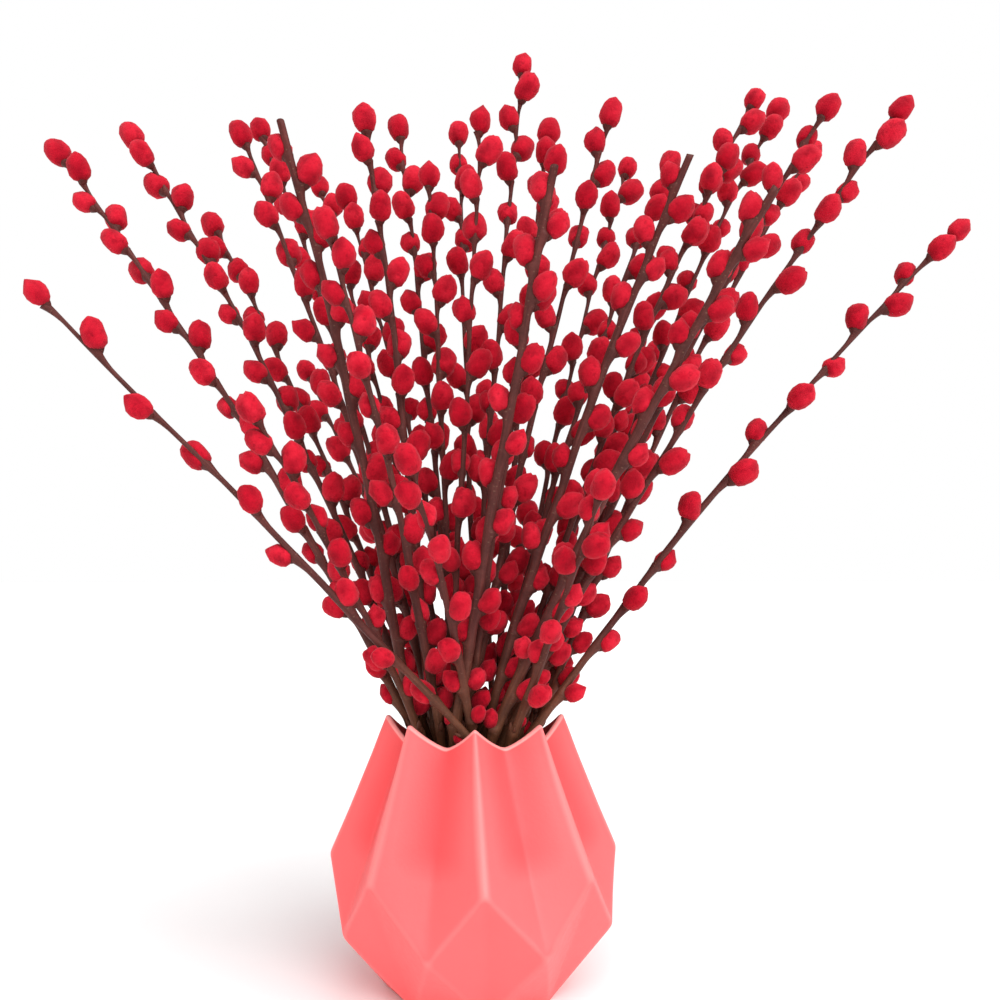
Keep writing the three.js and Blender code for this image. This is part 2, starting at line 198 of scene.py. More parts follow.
def carry(z, x, y):
    """Where the flow carries the neck place x, y to at height z: a stretch and a turn about the axis."""
    wide, deep, turn = flow(z)
    return wide * x - turn * y, turn * x + deep * y


def carry_back(z, x, y):
    """The neck place that the flow carries to x, y at height z: carry's inverse."""
    wide, deep, turn = (float(part) for part in flow(z))
    area = wide * deep + turn * turn
    return [(deep * x + turn * y) / area, (wide * y - turn * x) / area]


def settle_neck():
    """Each stem's neck place: its set place, or its tip carried back, then pushed apart until the
    stems stand a spacing apart inside the neck's circle."""
    places = [carry_back(NECK_HEIGHT, *b["neck"]) if "neck" in b else
              carry_back(b["tip"][2], b["tip"][0], b["tip"][1]) for b in BRANCHES]
    shrink = math.sqrt(1 + TURN_AT_NECK * TURN_AT_NECK)
    limit = NECK_RADIUS / shrink
    gap = NECK_SPACING / shrink
    held = ["neck" in b for b in BRANCHES]
    for _ in range(SETTLING_ROUNDS):
        for i, a in enumerate(places):
            for j in range(i + 1, len(places)):
                b = places[j]
                dx = b[0] - a[0]
                dy = b[1] - a[1]
                apart = math.sqrt(dx * dx + dy * dy)
                if apart < gap:
                    push = (PUSH_SHARE * (gap - apart)) / apart
                    if not held[i]:
                        a[0] -= push * dx
                        a[1] -= push * dy
                    if not held[j]:
                        b[0] += push * dx
                        b[1] += push * dy
        for place in places:
            out = math.sqrt(place[0] * place[0] + place[1] * place[1])
            if out > limit:
                place[0] *= limit / out
                place[1] *= limit / out
    return places


def unit(vectors):
    """Vectors divided by their lengths."""
    vectors = np.asarray(vectors, float)
    return vectors / np.sqrt((vectors * vectors).sum(-1, keepdims=True))


class Stem:
    """A branch's bare stem: its middle line, its radius and its direction as functions of height."""

    def __init__(self, number, branch, place):
        self.number = number
        self.tip = branch["tip"]
        self.top = float(branch["tip"][2])
        self.foot_radius = branch["radius"]
        self.spacing = branch["spacing"]
        self.cut = branch.get("cut", False)
        self.even = branch.get("even", False)
        self.place = place
        self.lean = branch.get("lean", LEAN_POWER)
        self.flow_tip = carry(self.top, *place)

    def line(self, z):
        """The flow's path, and from the neck up a share of the way to the branch's own tip that grows
        with the height to the power of its lean."""
        z = np.asarray(z, float)
        x, y = carry(z, *self.place)
        share = (np.maximum(z - NECK_HEIGHT, 0) / (self.top - NECK_HEIGHT)) ** self.lean
        x = x + share * (self.tip[0] - self.flow_tip[0])
        y = y + share * (self.tip[1] - self.flow_tip[1])
        return np.stack([x, y, z], -1)

    def radius(self, z):
        """Even up to the neck, then a straight taper to the tip."""
        end = CUT_RADIUS_SHARE if self.cut else TIP_RADIUS_SHARE
        rise = np.maximum(np.asarray(z, float) - NECK_HEIGHT, 0) / (self.top - NECK_HEIGHT)
        return self.foot_radius * (1 - (1 - end) * rise)

    def along(self, z):
        """The line's direction, from a millimetre below to a millimetre above."""
        z = np.asarray(z, float)
        return unit(self.line(z + TANGENT_STEP) - self.line(z - TANGENT_STEP))

    def frame(self, z):
        """The stem's direction and the two directions across it."""
        along = self.along(z)
        sideways = unit(np.cross(along, [0.0, 1.0, 0.0]))
        return along, sideways, np.cross(sideways, along)

    def samples(self):
        """Points and radii along the stem, close enough for a clearance test."""
        z = np.append(np.arange(STEM_START, self.top, SAMPLE_STEP), self.top)
        return np.column_stack([self.line(z), self.radius(z)])


def catkin_at(stem, z, angle, size, lean):
    """A catkin at height z on the side at angle round the stem: the middle of its base lies just beyond
    the twig's side, and its axis leans away from the stem."""
    along, sideways, outward = stem.frame(z)
    facing = sideways * math.cos(angle) + outward * math.sin(angle)
    axis = unit(along * math.cos(lean) + facing * math.sin(lean))
    half = 0.5 * CATKIN_LENGTH * size
    radius = CATKIN_RADIUS * size
    seat = stem.line(z) + facing * (stem.radius(z) + CATKIN_OFFSET if lean else 0)
    centre = seat + axis * (half - CATKIN_SUNK)
    reach = half - radius
    return {"z": z, "angle": angle, "axis": axis, "half": half, "radius": radius, "centre": centre,
            "balls": [centre + axis * reach, centre - axis * reach]}


def has_room(catkin, own, others, placed):
    """True if the catkin's two balls clear the rim, every other stem's samples and other branches'
    catkins."""
    rivals = [(p["balls"], p["radius"]) for p in placed if p["branch"] != own]
    balls = np.array([ball for pair, _ in rivals for ball in pair]).reshape(-1, 3)
    radii = np.repeat([radius for _, radius in rivals], 2)
    for ball in catkin["balls"]:
        low = ball[2] - catkin["radius"] < VASE_HEIGHT + CLEARANCE
        if low and math.hypot(ball[0], ball[1]) + catkin["radius"] > MOUTH_RADIUS:
            return False
        for points, sizes in ((others[own][:, :3], others[own][:, 3]), (balls, radii)):
            d = ball - points
            least = catkin["radius"] + sizes + CLEARANCE
            square = d[:, 0] * d[:, 0] + d[:, 1] * d[:, 1] + d[:, 2] * d[:, 2]
            if (square < least * least).any():
                return False
    return True


def grow_catkins(stems):
    """Catkins from each tip downwards, two fifths of a turn apart, or on a branch with a cut end on its
    two sides by turns. One with no room moves round the twig, then comes out smaller, and where even
    that fails its bud stays closed."""
    samples = [stem.samples() for stem in stems]
    others = [np.concatenate([s for j, s in enumerate(samples) if j != i]) for i in range(len(stems))]
    least_size, greatest_size = CATKIN_SIZE_RANGE
    placed = []
    closed = []
    for own, stem in enumerate(stems):
        start = stem.top - CUT_END if stem.cut else stem.top
        z = start
        n = 0
        while z > LOWEST_CATKIN:
            seed = own * 37 + n
            low = min(1, max(0, (z - LOWEST_CATKIN) / (SMALL_BELOW - LOWEST_CATKIN)))
            deep = 1 + CATKIN_DEPTH_GAIN * float(stem.line(z)[1])
            here = (SMALL_SHARE + (1 - SMALL_SHARE) * low) * deep
            full = (least_size + (greatest_size - least_size) * scatter(seed, GOLDEN)) * here
            sway = 0.9 * scatter(seed, PLASTIC) * (-1 if n % 2 else 1)
            angle = (n * math.pi + 0.2 + sway if stem.cut else
                     0.9 * own + n * CATKIN_STEP_ANGLE + 0.7 * scatter(seed, PLASTIC))
            lean = CATKIN_LEAN * (LEAST_LEAN + LEAN_RANGE * scatter(seed, PLASTIC_SQUARE))
            if n == 0 and not stem.cut:
                lean = 0
            tries = (catkin_at(stem, z, angle + turn, full * share, lean)
                     for share in SIZE_TRIES for turn in ANGLE_TRIES)
            found = next((c for c in tries if has_room(c, own, others, placed)), None)
            if found:
                placed.append({**found, "branch": own, "seed": seed})
            else:
                closed.append({"branch": own, "z": z, "angle": angle, "seed": seed})
            below = 1 if stem.even else min(1, (start - z) / CROWDED_LENGTH)
            usual = stem.spacing * (CROWDED_SHARE + (1 - CROWDED_SHARE) * below)
            varied = usual * (LEAST_SPACING + SPACING_RANGE * scatter(seed, PLASTIC))
            step = max(LEAST_STEP * here, varied)
            z -= step * float(stem.along(z)[2])
            n += 1
    return placed, closed


def check_layout(stems, catkins):
    """Stops the script if a branch doesn't stand where the frame's branch does: its stem and the
    middles of its catkins lie in the node's box but for the slack, and reach to within a catkin's
    length of each side."""
    for stem in stems:
        low, high = (np.array(corner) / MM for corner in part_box(branch_node(stem)))
        middles = [c["centre"] for c in catkins if c["branch"] == stem.number]
        points = np.concatenate([stem.samples()[:, :3], middles])
        spare_low = points.min(0) - low
        spare_high = high - points.max(0)
        least = min(spare_low.min(), spare_high.min())
        greatest = max(spare_low.max(), spare_high.max())
        if least < -LAYOUT_SLACK or greatest > CATKIN_LENGTH:
            raise RuntimeError(f"branch {stem.number + 1} doesn't match its node: "
                               f"{least:.1f}, {greatest:.1f}")


def branch_node(stem):
    """The name of the frame's node for a stem."""
    return f"branch_{stem.number + 1:02d}"


# ---- Meshes -------------------------------------------------------------------------------------


def tube_faces(rows, sides, first=0):
    """Faces of a closed tube of rings, with a pole vertex before the first ring and one after the
    last: quads between rings and a fan at each end, all facing out for rings that run along +axis and
    turn anticlockwise seen from its tip."""
    k = np.arange(sides)
    following = (k + 1) % sides
    ring = first + 1 + np.arange(rows - 1)[:, None] * sides
    quads = np.stack([ring + k, ring + following, ring + sides + following, ring + sides + k], -1)
    start = first + 1
    end = first + 1 + (rows - 1) * sides
    last = first + 1 + rows * sides
    bottom = np.stack([np.full(sides, first), start + following, start + k], -1)
    top = np.stack([np.full(sides, last), end + k, end + following], -1)
    return quads.reshape(-1, 4), np.concatenate([bottom, top])


def tube_points(rings, bottom, top):
    """A tube's vertices in the order that tube_faces expects."""
    return np.concatenate([[bottom], rings.reshape(-1, 3), [top]])


class MeshParts:
    """Vertices, faces and attributes of several closed shapes that become one mesh."""

    def __init__(self, **widths):
        self.widths = widths
        self.points = []
        self.quads = []
        self.triangles = []
        self.values = {name: [] for name in widths}
        self.count = 0

    def add(self, points, quads, triangles, **values):
        """Adds a shape whose faces count from its own first vertex. A value is an array with a row
        for each vertex, or one number or vector for the whole shape."""
        self.points.append(points)
        self.quads.append(quads + self.count)
        self.triangles.append(triangles + self.count)
        for name, width in self.widths.items():
            value = np.asarray(values.get(name, 0.0), float)
            shape = (len(points),) if width == 1 else (len(points), width)
            self.values[name].append(np.broadcast_to(value, shape))
        self.count += len(points)

    def build(self, name, material):
        """One smooth object at the origin, in metres."""
        faces = np.concatenate(self.quads).tolist() + np.concatenate(self.triangles).tolist()
        mesh = bpy.data.meshes.new(name)
        mesh.from_pydata((np.concatenate(self.points) * MM).tolist(), [], faces)
        mesh.polygons.foreach_set("use_smooth", np.ones(len(faces), bool))
        for attribute, width in self.widths.items():
            data = np.concatenate(self.values[attribute])
            kind, field = ("FLOAT", "value") if width == 1 else ("FLOAT_VECTOR", "vector")
            mesh.attributes.new(attribute, kind, "POINT").data.foreach_set(
                field, np.ascontiguousarray(data, np.float32).ravel())
        mesh.materials.append(material)
        mesh.update()
        piece = bpy.data.objects.new(name, mesh)
        bpy.context.scene.collection.objects.link(piece)
        return piece


def smooth_step(x):
    """0 below 0, 1 above 1, and 3x^2 - 2x^3 between."""
    x = np.clip(x, 0, 1)
    return x * x * (3 - 2 * x)


# ---- Vase ---------------------------------------------------------------------------------------

SOFTENING_RISE = 24  # height over the belly by which the folds are softened in full
SOFTENING_FALL = 16  # and the height below the sharp rim over which that fades out again
SHARP_RIM = 4
DEPTH_BELOW = 8  # the painted valley shade starts this far below the belly, and is full after the rise
DEPTH_RISE = 22
HALF_FOLD_COLUMNS = 24  # columns of the skin from a ridge to the next valley
OUTER_ROWS = 150
INNER_ROWS = 44
BASE_ROWS = 12
LIP_ROWS = 6
ROUNDING_PASSES = 3
FOLD_SOFTNESS = 60  # further rounding passes for the upright folds between the rim and the belly
RIDGE_SOFTNESS = 0.2
LIP_WALL = 3.0
RIM_ROUNDNESS = 0.35  # 0 for straight lines from point to dip, 1 for round dips


def fold_corner(radius, height, quarter, inset):
    """A corner of the folds at a multiple of half a fold, twisted less the higher it stands, and
    moved in by the inset for the inner skin."""
    angle = math.pi * quarter / FOLDS + VASE_TWIST * (1 - height / VASE_HEIGHT)
    return np.array([(radius - inset) * math.cos(angle), (radius - inset) * math.sin(angle), height])


def fold_columns(inset, foot_height):
    """Half a fold's columns as lines through five corners: the rim, the zigzag from ridge end to
    valley end, the crease from the foot corner to the valley end, and the foot's edge. A column at u
    takes each corner at u of the way from the ridge's side to the valley's. The rim drops between two
    points by the part u + r(u - u^2) of its whole dip, where r is the rim's roundness."""
    u = np.linspace(0, 1, HALF_FOLD_COLUMNS + 1)[:, None]
    rim_top = VASE_HEIGHT - 0.5 * LIP_WALL + 0.9
    rim_inset = inset * LIP_WALL / WALL
    point = fold_corner(RIM_POINT_RADIUS, rim_top, 0, rim_inset)
    dip = fold_corner(RIM_DIP_RADIUS, rim_top, 1, rim_inset)
    ridge = fold_corner(*RIDGE_END, 0, inset)
    valley = fold_corner(*VALLEY_END, 1, inset)
    corner = fold_corner(FOOT_RADIUS, foot_height, 0, inset)
    middle = 0.5 * (corner + fold_corner(FOOT_RADIUS, foot_height, 2, inset))
    rim = point + (dip - point) * u
    rim[:, 2] -= ((VASE_HEIGHT - RIM_DIP_HEIGHT) * (u + RIM_ROUNDNESS * (u - u * u)))[:, 0]
    return np.stack([rim, ridge + (valley - ridge) * u, corner + (valley - corner) * u,
                     corner + (middle - corner) * u], 1)


def resample(lines, rows):
    """Points at even distances along each line of corners."""
    steps = np.sqrt((np.diff(lines, axis=1) ** 2).sum(-1))
    run = np.concatenate([np.zeros((len(lines), 1)), np.cumsum(steps, 1)], 1)
    wanted = np.linspace(0, 1, rows) * run[:, -1:]
    return np.stack([np.stack([np.interp(w, r, line[:, axis]) for axis in range(3)], -1)
                     for w, r, line in zip(wanted, run, lines)])


def skin(inset, foot_height, rows):
    """The whole skin as columns by rows: half a fold's columns, their mirror image in the valley,
    and the fold turned round the axis once for each fold."""
    lines = fold_columns(inset, foot_height)
    half = resample(lines, rows)
    radius = np.hypot(half[..., 0], half[..., 1])
    angle = np.arctan2(half[..., 1], half[..., 0])
    twist = VASE_TWIST * (1 - half[..., 2] / VASE_HEIGHT)
    turned = math.pi * 2 / FOLDS - (angle - twist)
    other = np.stack([radius * np.cos(turned + twist), radius * np.sin(turned + twist),
                      half[..., 2]], -1)
    fold = np.concatenate([half[:-1], other[:0:-1]])
    turns = 2 * math.pi / FOLDS * np.arange(FOLDS)[:, None, None]
    x = fold[..., 0] * np.cos(turns) - fold[..., 1] * np.sin(turns)
    y = fold[..., 0] * np.sin(turns) + fold[..., 1] * np.cos(turns)
    z = np.broadcast_to(fold[..., 2], x.shape)
    return np.stack([x, y, z], -1).reshape(-1, rows, 3)


def rounded(grid, passes):
    """Every point moved to the mean 1, 2, 1 of itself and its neighbours, first round the vase and
    then along the rows, whose two ends stay, so the folds' edges become round."""
    for _ in range(passes):
        grid = 0.25 * (np.roll(grid, 1, 0) + 2 * grid + np.roll(grid, -1, 0))
        inner = 0.25 * (grid[:, :-2] + 2 * grid[:, 1:-1] + grid[:, 2:])
        grid = np.concatenate([grid[:, :1], inner, grid[:, -1:]], 1)
    return grid


def softened_folds(grid):
    """The upright folds made rounder between the rim and the belly: a share of each row is replaced by
    its running mean round the vase, none at the rim and below the belly, all half way between, and
    less on a ridge than in a valley."""
    soft = grid
    for _ in range(FOLD_SOFTNESS):
        soft = 0.25 * (np.roll(soft, 1, 0) + 2 * soft + np.roll(soft, -1, 0))
    z = grid[..., 2:]
    share = (smooth_step((z - RIDGE_END[1]) / SOFTENING_RISE)
             * smooth_step((VASE_HEIGHT - SHARP_RIM - z) / SOFTENING_FALL))
    outwards = np.hypot(soft[..., 0], soft[..., 1]) - np.hypot(grid[..., 0], grid[..., 1])
    share = share * np.where(outwards > 0, 1, RIDGE_SOFTNESS)[..., None]
    return grid + share * (soft - grid) * [1, 1, 0]


def disc_rows(edge, rows, height):
    """Rings from an edge in to the axis at the given heights, without the edge and the axis."""
    share = np.linspace(1, 0, rows + 1)[1:-1]
    flat = edge[:, None, :2] * share[None, :, None]
    heights = np.broadcast_to(height(share)[None, :, None], flat.shape[:2] + (1,))
    return np.concatenate([flat, heights], -1)


def fold_edge_mask(grid):
    """How far each point stands out from the mean of its neighbours, in the direction outwards:
    positive on a ridge, negative in a valley, zero on a flat face."""
    padded = np.concatenate([grid[:, :1], grid, grid[:, -1:]], 1)
    mean = 0.25 * (np.roll(grid, 2, 0) + np.roll(grid, -2, 0) + padded[:, :-2] + padded[:, 2:])
    around = np.roll(grid, -1, 0) - np.roll(grid, 1, 0)
    down = padded[:, 2:] - padded[:, :-2]
    out = unit(np.cross(down, around) + 1e-12)
    mask = ((grid - mean) * out).sum(-1)
    return mask * np.sign((out * grid).sum(-1).mean())


def fold_depth(grid):
    """How deep in its fold each point of the upper part lies: 1 where the radius is least in its row
    and 0 where it is greatest, times how much the row goes in and out."""
    radius = np.hypot(grid[..., 0], grid[..., 1])
    least, greatest = radius.min(0), radius.max(0)
    depth = (greatest - radius) / np.maximum(greatest - least, 3.0) * smooth_step((greatest - least) / 6)
    return depth * smooth_step((grid[..., 2] - RIDGE_END[1] + DEPTH_BELOW) / DEPTH_RISE)


def vase_mesh(parts):
    """Outer skin from the axis under the foot up to the rim, a half-round lip, and the inner skin
    down to the axis on the floor."""
    outer = rounded(softened_folds(skin(0, 0, OUTER_ROWS)), ROUNDING_PASSES)[:, ::-1]
    inner = rounded(skin(WALL, FLOOR, INNER_ROWS), ROUNDING_PASSES)
    turn = np.linspace(0, math.pi, LIP_ROWS + 2)[1:-1]
    outer_edge = outer[:, -1:]
    inner_edge = inner[:, :1]
    centre = 0.5 * (outer_edge + inner_edge)
    arm = outer_edge - centre
    reach = np.sqrt((arm * arm).sum(-1, keepdims=True))
    up = np.array([0, 0, 1.0])
    lip = centre + arm * np.cos(turn)[None, :, None] + up * reach * np.sin(turn)[None, :, None]
    under = disc_rows(outer[:, 0], BASE_ROWS, lambda s: 1.2 * smooth_step((0.86 - s) / 0.06))[:, ::-1]
    floor = disc_rows(inner[:, -1], BASE_ROWS, lambda s: np.full_like(s, FLOOR))
    grid = np.concatenate([under, outer, lip, inner, floor], 1)
    columns, rows = grid.shape[:2]
    depth = np.zeros((columns, rows))
    depth[:, under.shape[1]:under.shape[1] + outer.shape[1]] = fold_depth(outer)
    edge = np.zeros((columns, rows))
    first = under.shape[1]
    edge[:, first:first + outer.shape[1]] = fold_edge_mask(outer)
    edge = 0.25 * (np.roll(edge, 1, 0) + 2 * edge + np.roll(edge, -1, 0))
    rim = np.zeros(rows)
    rim[first + outer.shape[1]:first + outer.shape[1] + LIP_ROWS] = 1
    rings = grid.transpose(1, 0, 2)
    pole_low = np.array([0, 0, under[0, 0, 2]])
    pole_high = np.array([0, 0, FLOOR])
    quads, triangles = tube_faces(rows, columns)
    parts.add(tube_points(rings, pole_low, pole_high), quads, triangles,
              fold_edge=np.concatenate([[0], edge.T.ravel(), [0]]),
              fold_depth=np.concatenate([[0], depth.T.ravel(), [0]]),
              rim=np.concatenate([[0], np.repeat(rim, columns), [0]]))


# ---- Twigs --------------------------------------------------------------------------------------

TWIG_SIDES = 10
ROW_STEP = 3.0
NODE_ROWS = (-9, -6.5, -4.5, -3, -1.8, -0.8, 0, 0.8, 1.8, 3.2)  # rows round a node, from its height
FLARE_RISE = 8.5  # length over which a twig widens below a catkin
FLARE_FALL = 2.6
BUD_FLARE_SHARE = 0.5
LEAST_ROW_STEP = 0.45
WOBBLE_START = 30  # lengths over which the waves fade in at a twig's foot and out at its tip
WOBBLE_END = 20
RISE_HEIGHT = 480  # the height at which the attribute rise reaches 1
GRAIN_STRIDE = 500  # moves the bark's pattern along by this for each branch, so no two are alike
CUT_TILT = 0.35  # slope of a cut end, as a share of the radius
CUT_RIM_SHARE = 0.82  # radius of the cut face inside its edge of bark
WOBBLE = 0.35  # sideways waves of a twig, in millimetres
CUP_NODE_PART = 0.85  # how far cups and buds take the nodes' darker bark
BUD_NODE_PART = 0.7
CUP_SIDES = 10
# A bud's cup round a catkin's base, as distance along the catkin and radius, both as shares of the
# catkin's radius.
CUP_PROFILE = ((-0.36, 0.16), (-0.16, 0.3), (0.02, 0.4), (0.14, 0.45), (0.2, 0.42), (0.2, 0.34))
# A closed bud, as distance along it and radius, both as shares of its length.
BUD_PROFILE = ((-0.15, 0.14), (0.1, 0.24), (0.32, 0.26), (0.58, 0.2), (0.82, 0.1))


def waves(z, seed, counts=(0.055, 0.021, 0.13)):
    """A sum of three sine waves of the height, with phases that follow the seed."""
    return sum(np.sin(step * z + 2 * math.pi * scatter(seed + 1, irrational)) / (i + 1)
               for i, (step, irrational) in enumerate(zip(counts, (GOLDEN, PLASTIC, PLASTIC_SQUARE))))


def ring_frame(axis):
    """Two directions across each axis."""
    helper = np.where(np.abs(axis[..., 2:3]) > 0.9, [1.0, 0, 0], [0, 0, 1.0])
    first = unit(np.cross(helper, axis))
    return first, np.cross(axis, first)


def turned_shapes(seats, axes, profile, sides, swell=0.0):
    """Several turned shapes at once: rings round each axis at the profile's distances and radii.
    Returns points, shape by shape, with a pole at each end."""
    first, second = ring_frame(axes)
    along = profile[..., 0][..., None, None]
    radius = profile[..., 1][..., None, None]
    turn = np.linspace(0, 2 * math.pi, sides, endpoint=False)
    radius = radius * (1 + swell * np.cos(3 * turn))[None, None, :, None]
    ring = (seats[:, None, None] + axes[:, None, None] * along
            + radius * (first[:, None, None] * np.cos(turn)[:, None]
                        + second[:, None, None] * np.sin(turn)[:, None]))
    low = seats + axes * profile[:, 0, 0, None]
    high = seats + axes * profile[:, -1, 0, None]
    return np.concatenate([low[:, None], ring.reshape(len(seats), -1, 3), high[:, None]], 1)


def many_faces(shapes, rows, sides):
    """tube_faces for several tubes of the same size, one after another."""
    quads, triangles = tube_faces(rows, sides)
    size = rows * sides + 2
    first = size * np.arange(shapes)[:, None, None]
    return (quads + first).reshape(-1, 4), (triangles + first).reshape(-1, 3)


def twig_rows(stem, nodes):
    """Heights of a twig's rings: every few millimetres, and closer round each node."""
    even = np.arange(STEM_START, stem.top, ROW_STEP)
    near = [node["z"] + offset for node in nodes for offset in NODE_ROWS]
    heights = np.unique(np.round(np.concatenate([even, near, [stem.top]]), 2))
    heights = heights[(heights >= STEM_START) & (heights <= stem.top)]
    keep = np.concatenate([[True], np.diff(heights) > LEAST_ROW_STEP])
    heights = heights[keep]
    heights[-1] = stem.top
    return heights


def twig_mesh(parts, stem, nodes, flare):
    """A twig: a tube round the stem's line. Its radius is the stem's, times one plus small waves, and
    below each node it widens on the node's side, by the flare times the rise over the last part
    below the node and times ((1 + cos of the angle from the node) / 2)^1.8."""
    z = twig_rows(stem, nodes)
    along, sideways, outward = stem.frame(z)
    turn = np.linspace(0, 2 * math.pi, TWIG_SIDES, endpoint=False)
    radius = (stem.radius(z) * (1 + 0.06 * waves(z, stem.number)))[:, None] * np.ones(TWIG_SIDES)
    widening = np.zeros_like(radius)
    for node in nodes:
        h = z - node["z"]
        rise = np.where(h < 0, np.clip(1 + h / FLARE_RISE, 0, 1) ** 2,
                        np.clip(1 - h / FLARE_FALL, 0, 1) ** 2)
        side = ((1 + np.cos(turn - node["angle"])) / 2) ** 1.8
        widening = np.maximum(widening, flare * node["share"] * rise[:, None] * side)
    radius = radius + widening
    wobble = (sideways * waves(z, stem.number + 60)[:, None]
              + outward * waves(z, stem.number + 90)[:, None]) * WOBBLE
    wobble *= smooth_step((z - STEM_START) / WOBBLE_START)[:, None]
    wobble *= smooth_step((stem.top - z) / WOBBLE_END)[:, None]
    centre = stem.line(z) + wobble
    across = sideways[:, None] * np.cos(turn)[:, None] + outward[:, None] * np.sin(turn)[:, None]
    rings = centre[:, None] + across * radius[..., None]
    cut_tilt = CUT_TILT * stem.radius(z[[0, -1]])[:, None] * np.cos(turn - stem.number)
    rings[0] += along[0] * np.maximum(cut_tilt[0], -1)[:, None]
    if stem.cut:
        rings[-1] += along[-1] * cut_tilt[1][:, None]
        rim = (centre[-1] + across[-1] * radius[-1][:, None] * CUT_RIM_SHARE
               + along[-1] * cut_tilt[1][:, None])
        rings = np.concatenate([rings, rim[None]])
        z = np.append(z, z[-1])
    rows = len(rings)
    quads, triangles = tube_faces(rows, TWIG_SIDES)
    run = np.concatenate([[0], np.cumsum(np.sqrt((np.diff(stem.line(z), axis=0) ** 2).sum(-1)))])
    surface = np.stack([np.cos(turn) * np.ones((rows, 1)) * 2, np.sin(turn) * np.ones((rows, 1)) * 2,
                        run[:, None] * np.ones(TWIG_SIDES) + GRAIN_STRIDE * stem.number], -1)
    surface = surface.reshape(-1, 3)
    rise = np.repeat(z / RISE_HEIGHT, TWIG_SIDES)
    cut = np.repeat((np.arange(rows) == rows - 1) * float(stem.cut), TWIG_SIDES)
    swollen = (widening / max(flare, 1e-6)).ravel()
    swollen = np.concatenate([swollen, np.zeros(rows * TWIG_SIDES - len(swollen))])
    parts.add(tube_points(rings, centre[0], centre[-1]), quads, triangles,
              rise=np.concatenate([rise[:1], rise, rise[-1:]]),
              cut_face=np.concatenate([[1], cut, [float(stem.cut)]]),
              node_part=np.concatenate([[0], swollen, [0]]),
              surface=np.concatenate([surface[:1], surface, surface[-1:]]))


def bud_cups(parts, stem, catkins):
    """A small cup of bud scales round each catkin's base."""
    seats = np.array([c["centre"] - c["axis"] * c["half"] for c in catkins])
    axes = np.array([c["axis"] for c in catkins])
    radii = np.array([c["radius"] for c in catkins])
    profile = np.array(CUP_PROFILE)[None] * radii[:, None, None]
    points = turned_shapes(seats, axes, profile, CUP_SIDES, 0.06)
    quads, triangles = many_faces(len(catkins), len(CUP_PROFILE), CUP_SIDES)
    add_shapes(parts, stem, points, quads, triangles, CUP_NODE_PART)


def closed_buds(parts, stem, buds, length):
    """Pointed buds that stay closed, close against the twig."""
    z = np.array([bud["z"] for bud in buds])
    angle = np.array([bud["angle"] for bud in buds])[:, None]
    along, sideways, outward = stem.frame(z)
    facing = sideways * np.cos(angle) + outward * np.sin(angle)
    axes = unit(along + 0.42 * facing)
    seats = stem.line(z) + facing * stem.radius(z)[:, None] * 0.9
    sizes = length * (0.8 + 0.4 * np.array([scatter(bud["seed"], PLASTIC) for bud in buds]))
    profile = np.array(BUD_PROFILE)[None] * sizes[:, None, None]
    points = turned_shapes(seats, axes, profile, CUP_SIDES)
    points[:, -1] += axes * (0.18 * sizes)[:, None]
    quads, triangles = many_faces(len(buds), len(BUD_PROFILE), CUP_SIDES)
    add_shapes(parts, stem, points, quads, triangles, BUD_NODE_PART)


def add_shapes(parts, stem, points, quads, triangles, node_part):
    """Adds cups or buds to a twig's mesh."""
    flat = points.reshape(-1, 3)
    parts.add(flat, quads, triangles, rise=flat[:, 2] / RISE_HEIGHT, node_part=node_part,
              surface=flat + [0, 0, GRAIN_STRIDE * stem.number])


# ---- Catkins ------------------------------------------------------------------------------------

CATKIN_SIDES = 12
CATKIN_RINGS = 7


